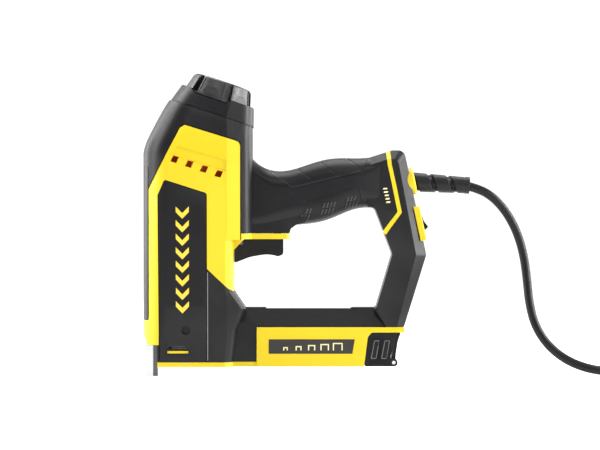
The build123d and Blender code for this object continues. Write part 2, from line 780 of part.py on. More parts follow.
def make_lever():
    lever = both(
        outline(
            (86.6, 33.6),
            (83.4, 20.2, 8.0),
            (82.6, 13.0),
            (85.6, 12.6),
            (86.0, 18.2, 8.0),
            (87.5, 27.7, 12.0),
            (89.6, 33.6),
        ),
        9.8,
    )
    lever += rod((LATCH_X, -9.8, LATCH_Z), (LATCH_X, 9.8, LATCH_Z), 3.0)
    return lever - rod((LATCH_X, -20, LATCH_Z), (LATCH_X, 20, LATCH_Z), 1.46)


save("magazine_end_cap", make_end_cap())
save("latch_lever", make_lever())
save("latch_pin", rod((LATCH_X, -14.0, LATCH_Z), (LATCH_X, 14.0, LATCH_Z), 1.4))


# ---- Trigger and microswitch ----
def make_trigger():
    blade = both(
        outline(
            (-39.4, 87.9, 1.0),
            (-27.0, 92.7, 30.0),
            (-13.0, 95.0, 25.0),
            (-5.4, 93.0, 3.0),
            (-1.5, 94.6, 2.0),
            (-1.5, 109.5, 1.0),
            (-39.2, 109.5),
            (-39.4, 100.0),
        ),
        8.2,
    )
    blade += box(-9, -3, -3, 3, 109, 114)
    return blade - rod((PIVOT_X, -20, PIVOT_Z), (PIVOT_X, 20, PIVOT_Z), PIN_R + 0.06)


SWITCH_BOTTOM = 117.0
BUTTON_X = -6.0
save("trigger", make_trigger())
save("trigger_pin", rod((PIVOT_X, -12.6, PIVOT_Z), (PIVOT_X, 12.6, PIVOT_Z), PIN_R))
save("trigger_spring", spring((-20, 0, 109.9), (0, 0, 1), (1, 0, 0), 6.7, 2.6, 0.7, 4))
microswitch = box(-26, 2, -5.1, 5.1, SWITCH_BOTTOM, SWITCH_BOTTOM + 15.9)
microswitch -= upright(BUTTON_X, SWITCH_BOTTOM - 1, SWITCH_BOTTOM + 6.5, 1.6)
for x in (-22.5, -1.5):
    microswitch -= rod((x, -6, 129), (x, 6, 129), 1.5)
for x in (-22, -12, -2):
    microswitch += box(x - 2, x + 2, -0.4, 0.4, SWITCH_BOTTOM + 15.9, SWITCH_BOTTOM + 20)
save("microswitch", microswitch)
save("switch_button", upright(BUTTON_X, 114.3, SWITCH_BOTTOM + 3.8, 1.5))


# ---- Rocker switch on the strut ----
def across_switch(face, half):
    """Extrude a flat (up, out) shape across the rocker switch."""
    plane = Plane(origin=SWITCH_FRAME.origin, x_dir=SWITCH_FRAME.x_dir, z_dir=(0, 1, 0))
    return extrude(plane.offset(-half) * face, 2 * half)


bezel = SWITCH_FRAME * Pos(0, 0, 0.05) * Box(27.0, 23.0, 4.7)
bezel = chamfer(bezel.edges().filter_by(lambda edge: edge.center().X > 100).sort_by(Axis.X)[-4:], 0.6)
bezel -= SWITCH_FRAME * Pos(0, 0, 0) * Box(21.6, 13.2, 30)
save("rocker_bezel", bezel)
save("rocker_body", SWITCH_FRAME * Pos(0, 0, -13.0) * Box(22.0, 14.0, 14.6))
ROCKER_AXIS = -2.0  # the rocker's pivot, measured out of the strut's rear face
rocker = across_switch(
    outline(
        (9.5, 2.4, 0.4),
        (1.3, 3.5, 6.0),
        (-3.9, 5.9, 0.6),
        (-6.2, 2.3, 1.0),
        (-9.5, 1.8, 0.4),
        (-9.5, 0),
        (-4, -4.5, 1.0),
        (4, -4.5, 1.0),
        (9.5, 0),
    ),
    6.2,
)
save("rocker", rocker + across_switch(Pos(0, ROCKER_AXIS) * Circle(1.3), 6.5))

# ---- Gland, boot and cord clamp ----
BOOT_AXIS = Vector(*BOOT_END) - Vector(*BOOT_START)
BOOT_R0, BOOT_R1 = 7.8, 6.25
gland = rear_face(151.3) * Pos(0, 0, -3.0) * extrude(Circle(10.5), 6.4)
gland = fillet(gland.edges().sort_by(Axis.X)[-1], 1.6)
gland -= rod(BOOT_START, BOOT_END, BOOT_R0 + 0.15)
save("gland_ring", gland)
boot = loft(
    [
        Plane(origin=BOOT_START, z_dir=BOOT_AXIS) * Circle(BOOT_R0),
        Plane(origin=BOOT_END, z_dir=BOOT_AXIS) * Circle(BOOT_R1),
    ],
    ruled=True,
)
save("strain_relief", boot)
clamp = box(76, 88, -9, 9, 145.5, 157.5) - rod((70, 0, 152), (90, 0, 152), 3.6)
save("cord_clamp", clamp)


# ---- Board and wires ----
BOARD_Y, BOARD_T = 12.0, 1.6
board_face = BOARD_Y + BOARD_T
save("control_board", box(-98, -52, BOARD_Y, board_face, 65, 104))
sink = box(-96, -82, board_face, board_face + 1.4, 68, 90)
for k in range(6):
    z = 68.6 + 3.9 * k
    sink += box(-96, -82, board_face + 1.4, board_face + 4.4, z, z + 1.3)
save("heat_sink", sink)
parts_on_board = [
    rod((-77, board_face + 3.2, 92), (-59, board_face + 3.2, 92), 3.2),
    box(-77, -66, board_face, board_face + 4.6, 70, 84),
    box(-62, -55, board_face, board_face + 4.2, 70, 80),
    box(-94, -84, board_face, board_face + 3.0, 93, 101),
]
save("board_components", *parts_on_board)


def tube(radius, points, radii):
    path = FilletPolyline(*points, radius=radii)
    start = Plane(origin=path @ 0, z_dir=path % 0)
    return sweep(start * Circle(radius), path=path)


wires = [
    tube(3.4, [(91, 0, 152), (72, 0, 152.0), (62, 0, 150.5)], [20.0]),
    tube(
        1.0,
        [(62.2, 1.5, 150.5), (36, 4, 152), (12, 5, 146), (-2, 2.5, 141.6), (-2, 1.6, 137.2)],
        [20.0, 20.0, 1.5],
    ),
    tube(
        1.0,
        [
            (62.2, -1.5, 150.5),
            (30, -5, 150),
            (-18, -5, 143),
            (-36.0, 13.0, 141),
            (-37.0, 16.0, 113.5),
            (-46.0, 16.2, 112.0),
            (-53.0, 15.8, 107.6),
            (-54.5, 12.9, 104.9),
        ],
        [20.0, 20.0, 2.0, 3.0, 2.0, 1.5],
    ),
]
save("wiring", *wires)

# ---- Screws through both housing halves ----
screws = []
for x, z in screw_places():
    w = screw_depths(x, z)
    screw = rod((x, -w + 6, z), (x, w - 3.2, z), SCREW_R - 0.1)
    screw += rod((x, w - 3.2, z), (x, w - 1.0, z), SCREW_HEAD_R)
    screw -= Pos(x, w - 1.4, z) * Rot(90, 0, 0) * Box(4.2, 0.9, 1.6)
    screw -= Pos(x, w - 1.4, z) * Rot(90, 0, 0) * Box(0.9, 4.2, 1.6)
    screws.append(screw)
save("housing_screws", *screws)

# ---- Mains cord: down from the boot, along the floor, wound up, then the plug ----
CORD_R = CORD_D / 2
CORD_ROUTE = [
    (136.0, 0.0, 149.4),
    (150.5, 0.0, 146.0),
    (163.0, 0.0, 138.6),
    (173.6, 0.3, 126.0),
    (181.5, 0.6, 110.5),
    (186.3, 0.4, 93.0),
    (188.5, -0.8, 75.0),
    (190.0, -2.5, 57.0),
    (194.0, -4.6, 39.8),
    (203.2, -7.0, 24.6),
    (217.0, -9.8, 13.0),
    (233.6, -13.0, 6.2),
    (251.6, -17.0, 4.0),
    (269.6, -21.6, 3.7),
    (288.0, -25.4, 3.6),
    (306.0, -27.5, 3.5),
]
TAIL_ROUTE = [
    (262.2, 12.5, 24.6),
    (262.8, -4.3, 26.4),
    (270.0, -19.3, 30.0),
    (283.5, -29.0, 33.6),
    (300.6, -30.6, 35.4),
    (316.5, -24.1, 35.5),
]


def bend_radii(route):
    """Largest tangent arc at each corner of a route: 0.45 of the shorter run beside it."""
    radii = []
    points = [Vector(*p) for p in route]
    for a, b, c in zip(points, points[1:], points[2:]):
        turn = math.radians((b - a).get_angle(c - b))
        radii.append(0.45 * min((b - a).length, (c - b).length) / math.tan(turn / 2))
    return radii


for name, route in (("power_cord", CORD_ROUTE), ("cord_tail", TAIL_ROUTE)):
    radii = bend_radii(route)
    path = FilletPolyline(*route, radius=radii)
    solid = tube(CORD_R, route, radii)
    save(name, solid)
    section = math.pi * CORD_R**2 * path.length / 1000
    print(f"  length {path.length:.1f} mm, section x length {section:.2f} cm3")
    print("  bend radii", [round(r) for r in radii])

ring_wall = RING_COLUMNS * CORD_D
ring_height = RING_LAYERS * CORD_D
ring_in, ring_out = RING_MEAN_R - ring_wall / 2, RING_MEAN_R + ring_wall / 2
ring_profile = outline(
    (ring_in, 0, 3), (ring_out, 0, 3), (ring_out, ring_height, 3), (ring_in, ring_height, 3)
)
ring = Pos(RING_X, RING_Y, 0) * revolve(Plane.XZ * ring_profile, Axis.Z)
TIE_T, TIE_W = 1.1, 12.0
tie_outer = outline(
    (ring_in - TIE_T, 0, 3.6),
    (ring_out + TIE_T, 0, 3.6),
    (ring_out + TIE_T, ring_height + TIE_T, 3.6),
    (ring_in - TIE_T, ring_height + TIE_T, 3.6),
)
tie_inner = outline(
    (ring_in, TIE_T, 2.8), (ring_out, TIE_T, 2.8), (ring_out, ring_height, 2.8), (ring_in, ring_height, 2.8)
)
tie_plane = Plane(origin=(RING_X - TIE_W / 2, RING_Y, 0), x_dir=(0, 1, 0), z_dir=(1, 0, 0))
tie = extrude(tie_plane * tie_outer, TIE_W) - extrude(tie_plane * tie_inner, TIE_W)
save("coil_tie", tie)
save("cord_coil", ring - tie)
turns = RING_COLUMNS * RING_LAYERS
wound = turns * 2 * math.pi * RING_MEAN_R
print(f"  {turns} turns, {wound:.0f} mm wound, outside {2 * ring_out:.0f} mm")

plug_frame = Pos(316.5, -24.1, 35.5) * Rot(0, 0, PLUG_HEADING)
plug = Pos(0, 0, -7.5) * extrude(
    outline(
        (0, -4.6),
        (11, -6.0, 6.0),
        (17, -16.5, 5.0),
        (44, -16.5, 4.0),
        (44, 16.5, 4.0),
        (17, 16.5, 5.0),
        (11, 6.0, 6.0),
        (0, 4.6),
    ),
    15,
)
plug = chamfer(plug.edges().filter_by(Axis.Z, reverse=True), 1.5)
save("plug_body", plug_frame * plug)
pins = []
for y in (-9.5, 9.5):
    pin = Pos(34, y, 0) * Rot(0, 90, 0) * extrude(Circle(2.4), 29)
    pins.append(plug_frame * fillet(pin.edges().sort_by(Axis.X)[-1], 1.2))
plug_pins = Compound(children=[p.solid() for p in pins])
save("plug_pins", plug_pins)
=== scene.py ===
import bpy
import bmesh
import json
import math
from mathutils import Vector, Matrix
from mathutils.bvhtree import BVHTree


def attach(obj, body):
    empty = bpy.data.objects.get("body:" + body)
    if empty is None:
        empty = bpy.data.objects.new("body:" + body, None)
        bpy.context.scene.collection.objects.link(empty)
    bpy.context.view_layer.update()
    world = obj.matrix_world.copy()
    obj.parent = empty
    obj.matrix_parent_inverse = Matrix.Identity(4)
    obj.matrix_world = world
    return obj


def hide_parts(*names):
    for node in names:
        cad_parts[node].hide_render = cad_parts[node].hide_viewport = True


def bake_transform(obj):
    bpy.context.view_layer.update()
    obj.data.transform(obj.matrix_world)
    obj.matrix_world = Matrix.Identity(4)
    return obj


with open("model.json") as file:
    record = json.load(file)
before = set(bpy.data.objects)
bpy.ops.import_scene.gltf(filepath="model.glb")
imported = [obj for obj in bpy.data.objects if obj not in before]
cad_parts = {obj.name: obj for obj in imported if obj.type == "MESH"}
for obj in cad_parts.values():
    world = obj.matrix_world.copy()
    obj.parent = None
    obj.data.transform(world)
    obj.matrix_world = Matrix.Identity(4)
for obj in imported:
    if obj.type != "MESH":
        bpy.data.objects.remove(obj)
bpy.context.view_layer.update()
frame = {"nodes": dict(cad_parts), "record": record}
scene = bpy.context.scene
NODES = frame["nodes"]


# ---- Materials ----
MIX_FACTOR, MIX_A, MIX_B, MIX_RESULT = 0, 6, 7, 2  # sockets of a Mix node that mixes colours
PATCH_SCALE = 28.0  # soft patches of tone on plastic
STEEL_PATCH_SCALE = 60.0
CELL_SHARE = 0.6  # scale of plastic's coarse grain against its fine grain
EDGE_SHEEN_FROM, EDGE_SHEEN_TO = 0.52, 0.62  # pointiness over which an edge goes from plain to its full painted highlight
GRAIN_DEPTH = 0.0002  # metres
GRINDING_DEPTH = 0.0001


def socket(node, name, value):
    node.inputs[name].default_value = value


def new_material(name):
    """Material, its node tree, its shader and the coordinates that its textures use."""
    material = bpy.data.materials.new(name)
    material.use_nodes = True
    tree = material.node_tree
    coords = tree.nodes.new("ShaderNodeTexCoord").outputs["Object"]
    return material, tree, tree.nodes["Principled BSDF"], coords


def node_on(tree, kind, link_to, source, **values):
    """New node with one linked input. `values` are socket names, with _ for a space."""
    node = tree.nodes.new(kind)
    tree.links.new(source, node.inputs[link_to])
    for name, value in values.items():
        socket(node, name.replace("_", " "), value)
    return node.outputs


def noise(tree, coords, **values):
    return node_on(tree, "ShaderNodeTexNoise", "Vector", coords, **values)["Fac"]


def remap(tree, source, **values):
    return node_on(tree, "ShaderNodeMapRange", "Value", source, **values)["Result"]


def combine(tree, operation, first, second):
    node = tree.nodes.new("ShaderNodeMath")
    node.operation = operation
    tree.links.new(first, node.inputs[0])
    tree.links.new(second, node.inputs[1])
    return node.outputs[0]


def mix(tree, factor, first, second):
    """Mix of two colours, each given as three numbers or as another node's output."""
    node = tree.nodes.new("ShaderNodeMix")
    node.data_type = "RGBA"
    tree.links.new(factor, node.inputs[MIX_FACTOR])
    for index, colour in ((MIX_A, first), (MIX_B, second)):
        if isinstance(colour, bpy.types.NodeSocket):
            tree.links.new(colour, node.inputs[index])
        else:
            node.inputs[index].default_value = (*colour, 1)
    return node.outputs[MIX_RESULT]


def finish_surface(tree, shader, colour, gloss, height, strength, depth):
    """Join a surface's colour, roughness and relief to its shader."""
    bump = node_on(tree, "ShaderNodeBump", "Height", height, Strength=strength, Distance=depth)
    tree.links.new(colour, shader.inputs["Base Color"])
    tree.links.new(gloss, shader.inputs["Roughness"])
    tree.links.new(bump["Normal"], shader.inputs["Normal"])


def plastic(
    name,
    colour,
    second,
    rough=0.5,
    grain=3200.0,
    bump=0.12,
    metallic=0.0,
    # strength of the painted highlight on sharp edges
    edge_sheen_strength=0.25,
    coat=0.0,
    specular=0.5,
):
    """Moulded or rolled surface: two tones mixed by a soft noise, a fine grain and a faint painted
    highlight on sharp edges.
    """
    material, tree, shader, coords = new_material(name)
    socket(shader, "Metallic", metallic)
    socket(shader, "Coat Weight", coat)
    socket(shader, "Specular IOR Level", specular)
    patches = noise(tree, coords, Scale=PATCH_SCALE, Detail=6.0, Roughness=0.6)
    fine = noise(tree, coords, Scale=grain, Detail=3.0)
    cells = node_on(tree, "ShaderNodeTexVoronoi", "Vector", coords, Scale=grain * CELL_SHARE)
    tone = mix(tree, remap(tree, patches, From_Min=0.3, From_Max=0.7), colour, second)
    # Painted highlight: sharp edges are lightened a little, broken up by the patches.
    pointiness = tree.nodes.new("ShaderNodeNewGeometry").outputs["Pointiness"]
    edge = remap(tree, pointiness, From_Min=EDGE_SHEEN_FROM, From_Max=EDGE_SHEEN_TO, To_Max=edge_sheen_strength)
    light = [min(1.0, c * 1.5 + 0.06) for c in colour]
    with_sheen = mix(tree, combine(tree, "MULTIPLY", edge, patches), tone, light)
    gloss = remap(tree, patches, To_Min=rough - 0.06, To_Max=rough + 0.08)
    height = combine(tree, "ADD", fine, cells["Distance"])
    finish_surface(tree, shader, with_sheen, gloss, height, bump, GRAIN_DEPTH)
    return material


def brushed(name, colour, rough=0.3, along=(40, 2200, 2200)):
    """Steel with fine grinding lines and a few darker patches."""
    material, tree, shader, coords = new_material(name)
    socket(shader, "Metallic", 1.0)
    stretched = node_on(tree, "ShaderNodeMapping", "Vector", coords, Scale=along)["Vector"]
    lines = noise(tree, stretched, Scale=1.0, Detail=4.0)
    patches = noise(tree, coords, Scale=STEEL_PATCH_SCALE, Detail=4.0)
    tone = mix(tree, patches, [c * 0.8 for c in colour], colour)
    gloss = remap(tree, lines, To_Min=rough - 0.08, To_Max=rough + 0.12)
    finish_surface(tree, shader, tone, gloss, lines, 0.15, GRINDING_DEPTH)
    return material


MATERIALS = {
    "black_casing": plastic(
        "black_casing", (0.006, 0.006, 0.007), (0.009, 0.009, 0.010), 0.34, bump=0.2, specular=0.22
    ),
    "yellow_panel": plastic(
        "yellow_panel",
        (0.58, 0.43, 0.004),
        (0.60, 0.45, 0.006),
        0.42,
        bump=0.06,
        edge_sheen_strength=0.1,
        specular=0.35,
    ),
    "dark_inset": plastic(
        "dark_inset", (0.005, 0.005, 0.006), (0.007, 0.007, 0.008), 0.30, bump=0.12, specular=0.18
    ),
    "soft_grip": plastic(
        "soft_grip",
        (0.005, 0.005, 0.006),
        (0.008, 0.008, 0.009),
        0.42,
        grain=1800,
        bump=0.4,
        edge_sheen_strength=0.1,
        specular=0.22,
    ),
    "dial_plastic": plastic(
        "dial_plastic", (0.010, 0.010, 0.011), (0.015, 0.015, 0.016), 0.36, bump=0.15, specular=0.5
    ),
    "label_plate": plastic(
        "label_plate", (0.016, 0.015, 0.012), (0.022, 0.020, 0.017), 0.36, bump=0.1, specular=0.3
    ),
    "tool_steel": brushed("tool_steel", (0.86, 0.86, 0.87), 0.34),
    "spring_steel": brushed("spring_steel", (0.5, 0.5, 0.52), 0.3),
    "yoke_iron": plastic(
        "yoke_iron", (0.24, 0.24, 0.26), (0.32, 0.32, 0.34), 0.45, metallic=0.6
    ),
    "winding_lacquer": plastic(
        "winding_lacquer",
        (0.80, 0.10, 0.02),
        (0.62, 0.06, 0.012),
        0.30,
        grain=900,
        bump=0.3,
        coat=0.2,
    ),
    "nylon_natural": plastic("nylon_natural", (0.66, 0.63, 0.54), (0.74, 0.71, 0.62), 0.42),
    "nylon_black": plastic(
        "nylon_black", (0.004, 0.004, 0.005), (0.006, 0.006, 0.007), 0.30, bump=0.12, specular=0.14
    ),
    "rubber_black": plastic(
        "rubber_black", (0.006, 0.006, 0.007), (0.010, 0.010, 0.011), 0.40, bump=0.2, specular=0.22
    ),
    "board_green": plastic("board_green", (0.012, 0.12, 0.035), (0.02, 0.17, 0.05), 0.3, coat=0.3),
    "aluminium_sink": brushed("aluminium_sink", (0.75, 0.75, 0.77), 0.35),
    "component_plastic": plastic(
        "component_plastic", (0.03, 0.04, 0.09), (0.05, 0.06, 0.12), 0.32
    ),
    "wire_insulation": plastic("wire_insulation", (0.35, 0.04, 0.02), (0.42, 0.06, 0.03), 0.4),
    "staple_zinc": brushed("staple_zinc", (0.68, 0.68, 0.7), 0.34, (2200, 60, 60)),
    "pin_brass": brushed("pin_brass", (0.78, 0.62, 0.30), 0.24, (60, 2200, 2200)),
    "cord_rubber": plastic(
        "cord_rubber", (0.005, 0.005, 0.006), (0.009, 0.009, 0.010), 0.34, bump=0.12, specular=0.2
    ),
    "dark_steel": brushed("dark_steel", (0.14, 0.14, 0.15), 0.35),
}
# Finishes of the added marks, among them a painted shadow, a painted sheen and painted highlights,
# which have no slot of their own in the record.
PRINT = {"grain": 5000, "bump": 0.05, "edge_sheen_strength": 0.0}
PRINT_YELLOW = plastic("print_yellow", (0.72, 0.46, 0.02), (0.78, 0.52, 0.04), 0.45, **PRINT)
PRINT_CREAM = plastic("print_cream", (0.68, 0.60, 0.31), (0.72, 0.64, 0.37), 0.5, **PRINT)
# Painted sheen: a lighter copy of the grip's black rubber, for the finger ribs and the lines
# beside the grip's grooves.
SHEEN_RUBBER = plastic(
    "rubber_painted_sheen", (0.014, 0.014, 0.015), (0.020, 0.020, 0.021), 0.34, grain=2400, bump=0.1
)
# Painted shadow: near-black, laid in the seams round the panels.
SEAM_SHADOW = plastic(
    "seam_shadow", (0.001, 0.001, 0.001), (0.002, 0.002, 0.002), 0.7, specular=0.05, **PRINT
)
# Painted highlight: a light grey for thin lines where edges catch the light.
HIGHLIGHT_GREY = plastic(
    "painted_highlight_grey", (0.13, 0.13, 0.134), (0.16, 0.16, 0.164), 0.36, **PRINT
)

# Painted light: the winding is given a faint red glow, though it is no lamp, so that it shows
# through the vents in the dark of the casing.
painted_glow = MATERIALS["winding_lacquer"].node_tree.nodes["Principled BSDF"]
socket(painted_glow, "Emission Color", (0.8, 0.07, 0.01, 1))
socket(painted_glow, "Emission Strength", 0.16)

SLOTS = {row["node"]: row["material_slot"] for row in frame["record"]["subparts"]}
ROUNDED = {  # width of the rounding on the edges of a CAD node, in metres
    "power_dial": 0.0007,
    "top_cap": 0.0006,
    "trigger": 0.0009,
    "magazine_end_cap": 0.0007,
    "magazine_housing": 0.0006,
    "rocker_bezel": 0.0006,
    "rocker": 0.0004,
    "nose_plate": 0.0003,
    "gland_ring": 0.0005,
    "plug_body": 0.0012,
}
SHARP_FROM = math.radians(32)  # only edges that turn by more are rounded
for name, obj in NODES.items():
    obj.data.materials.clear()
    obj.data.materials.append(MATERIALS["dark_steel" if name == "trigger_pin" else SLOTS[name]])
    if name in ROUNDED:
        bevel = obj.modifiers.new("rounded_edges", "BEVEL")
        bevel.width = ROUNDED[name]
        bevel.segments = 2
        bevel.limit_method = "ANGLE"
        bevel.angle_limit = SHARP_FROM


# ---- Helpers for added pieces ----
MM = 1000  # millimetres in a metre
RAY_START = 0.08  # metres from the middle of the tool, outside all of it
INNER = 0.004  # hits nearer to the middle than this are on the inside of the other half


def mesh_object(name, bm, material, smooth=True):
    """Object from a bmesh, which is used up, with its normals turned outwards."""
    bmesh.ops.recalc_face_normals(bm, faces=bm.faces[:])
    mesh = bpy.data.meshes.new(name)
    bm.to_mesh(mesh)
    bm.free()
    for face in mesh.polygons:
        face.use_smooth = smooth
    mesh.materials.append(material)
    obj = bpy.data.objects.new(name, mesh)
    scene.collection.objects.link(obj)
    return obj


def rigid_piece(name, bm, material, body="housing", smooth=True):
    """Piece that rides on one body."""
    piece = mesh_object(name, bm, material, smooth)
    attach(piece, body)
    return piece


def turned(i, count):
    """Angle of step `i` of `count` round a circle."""
    return 2 * math.pi * i / count


def join_rings(bm, rings, closed_end):
    """Quads between rings of vertices, with a face on the first ring and maybe on the last."""
    for low, high in zip(rings, rings[1:]):
        for j in range(len(low)):
            k = (j + 1) % len(low)
            bm.faces.new((low[j], low[k], high[k], high[j]))
    bm.faces.new(rings[0])
    if closed_end:
        bm.faces.new(rings[-1])


TREES = {}


def tree_of(node):
    """Ray-casting tree of a CAD node's surface."""
    if node not in TREES:
        mesh = NODES[node].data
        verts = [v.co.copy() for v in mesh.vertices]
        TREES[node] = BVHTree.FromPolygons(verts, [tuple(p.vertices) for p in mesh.polygons])
    return TREES[node]


def surface(x, z, nodes, side):
    """Half width of the nodes' outside at (x, z) millimetres, or None past their edge."""
    start, direction = Vector((x / MM, side * RAY_START, z / MM)), Vector((0, -side, 0))
    hits = [tree_of(node).ray_cast(start, direction)[0] for node in nodes]
    depths = [side * hit.y for hit in hits if hit is not None and side * hit.y > INNER]
    return max(depths) if depths else None


def outermost(x, z, nodes, side, reach):
    """Largest half width of the nodes within `reach` millimetres of (x, z)."""
    steps = (-reach, 0, reach) if reach else (0,)
    depths = [surface(x + dx, z + dz, nodes, side) for dx in steps for dz in steps]
    return max((depth for depth in depths if depth is not None), default=0.0)


def cut_in_cells(bm, cell):
    """Cut flat shapes every `cell` millimetres both ways, so that they can follow a curve."""
    for axis in (Vector((1, 0, 0)), Vector((0, 0, 1))):
        span = [v.co.dot(axis) for v in bm.verts]
        at = min(span) + cell / MM
        while at < max(span):
            everything = bm.verts[:] + bm.edges[:] + bm.faces[:]
            bmesh.ops.bisect_plane(bm, geom=everything, plane_co=axis * at, plane_no=axis)
            at += cell / MM


def raised(
    name,
    shapes,
    nodes,
    side,
    height,
    material,
    cell=2.0,
    sink=0.15,
    body="housing",
    reach=0.0,
):
    """Flat (x, z) shapes in millimetres laid on the tool's side, `height` mm proud.

    The shapes follow the outside of `nodes`, bridging gaps in it up to `reach` mm away, and
    go `sink` mm into it. A shape with a corner past the nodes' edge is left out.
    """
    bm = bmesh.new()
    for shape in shapes:
        if all(surface(x, z, nodes, side) is not None for x, z in shape):
            bm.faces.new([bm.verts.new((x / MM, 0, z / MM)) for x, z in shape])
    cut_in_cells(bm, cell)
    for v in bm.verts:
        depth = outermost(v.co.x * MM, v.co.z * MM, nodes, side, reach)
        v.co.y = side * (depth - sink / MM)
    top = bmesh.ops.extrude_face_region(bm, geom=bm.faces[:])
    for v in (g for g in top["geom"] if isinstance(g, bmesh.types.BMVert)):
        v.co.y += side * (height + sink) / MM
    return rigid_piece(name, bm, material, body, smooth=False)


# ---- Generic markings: plain chevrons, ticks and staple outlines ----
# The measures of the marks are in millimetres, and their points are (x, z).
CHEVRON_HALF, CHEVRON_RISE, CHEVRON_THICK = 5.0, 5.2, 4.2
CHEVRONS, CHEVRON_FIRST, CHEVRON_STEP = 8, (-78.9, 49.4), 10.4
STAPLE_SIZES = ((3.6, 2.6), (4.6, 3.4), (5.6, 4.2), (6.6, 5.0), (7.6, 5.8))
STAPLE_FIRST, STAPLE_STEP, STAPLE_WIRE = (-1.5, 20.4), 9.6, 0.9
TICKS, TICK_FIRST, TICK_STEP, TICK_LEAN = 5, (78.0, 134.5), 2.6, 0.23
RIB_GROUPS = ((10.2, 126.0, 0.1), (28.9, 130.4, 0.35), (47.3, 135.2, 0.5))  # x, z, climb
RIBS_IN_ROW, RIB_STEP, RIB_ROW = 4, 2.7, (1.4, 4.9)
# Painted highlights: thin light lines just beside the grip's grooves, each from (x, z) to (x, z),
# with its width.
GROOVE_HIGHLIGHTS = (
    (-10.2, 158.0, 5.6, 146.5, 0.35),
    (5.9, 146.5, 58.2, 159.2, 0.35),
    (10.5, 159.2, 19.2, 153.0, 0.3),
    (26.9, 166.2, 37.9, 157.2, 0.3),
    (47.2, 168.6, 56.6, 162.0, 0.3),
)
# Painted shadow: near-black strips along the seams round the yellow panel and the inset panel,
# where shade falls in the gaps.
RIM_WIDTH = 0.6
PANEL_RIM = (
    (-105.7, 46.0),
    (-105.7, 145.0),
    (-81.0, 192.0),
    (-77.0, 194.6),
    (-37.6, 182.5),
    (-35.2, 181.0),
    (-34.1, 178.4),
    (-34.1, 106.0),
)
INSET_RIM = (
    (-96.9, 14.0),
    (-97.7, 140.2),
    (-92.8, 151.0),
    (-91.6, 151.6),
    (-61.2, 141.9),
    (-60.3, 140.8),
    (-60.3, 84.0),
)


def chevron(x, z):
    """Chevron pointing down, towards the nose, as two slanted bars."""
    half, low, high = CHEVRON_HALF, z + CHEVRON_RISE, z + CHEVRON_RISE + CHEVRON_THICK
    left = [(x - half, low), (x, z), (x, z + CHEVRON_THICK), (x - half, high)]
    right = [(x, z), (x + half, low), (x + half, high), (x, z + CHEVRON_THICK)]
    return left, right


def bar(x, z, width, height, lean=0.0):
    return [(x, z), (x + width, z), (x + width + lean, z + height), (x + lean, z + height)]


def staple(x, z, width, height):
    """Outline of one staple, legs down, as three bars."""
    wire = STAPLE_WIRE
    return [
        bar(x, z + height - wire, width, wire),
        bar(x, z, wire, height - wire),
        bar(x + width - wire, z, wire, height - wire),
    ]


def line(x0, z0, x1, z1, wide):
    """Thin straight band between two points."""
    run = math.hypot(x1 - x0, z1 - z0)
    dx, dz = -(z1 - z0) / run * wide / 2, (x1 - x0) / run * wide / 2
    return [(x0 - dx, z0 - dz), (x1 - dx, z1 - dz), (x1 + dx, z1 + dz), (x0 + dx, z0 + dz)]


def lines_through(points, wide):
    return [line(*a, *b, wide) for a, b in zip(points, points[1:])]


def finger_ribs():
    """Three groups of two rows of ribs, under the fingers."""
    back, down = RIB_ROW
    return [
        bar(x0 + RIB_STEP * k - back * row, z0 + climb * k - down * row, 1.0, 3.9, 1.5)
        for x0, z0, climb in RIB_GROUPS
        for row in range(2)
        for k in range(RIBS_IN_ROW)
    ]


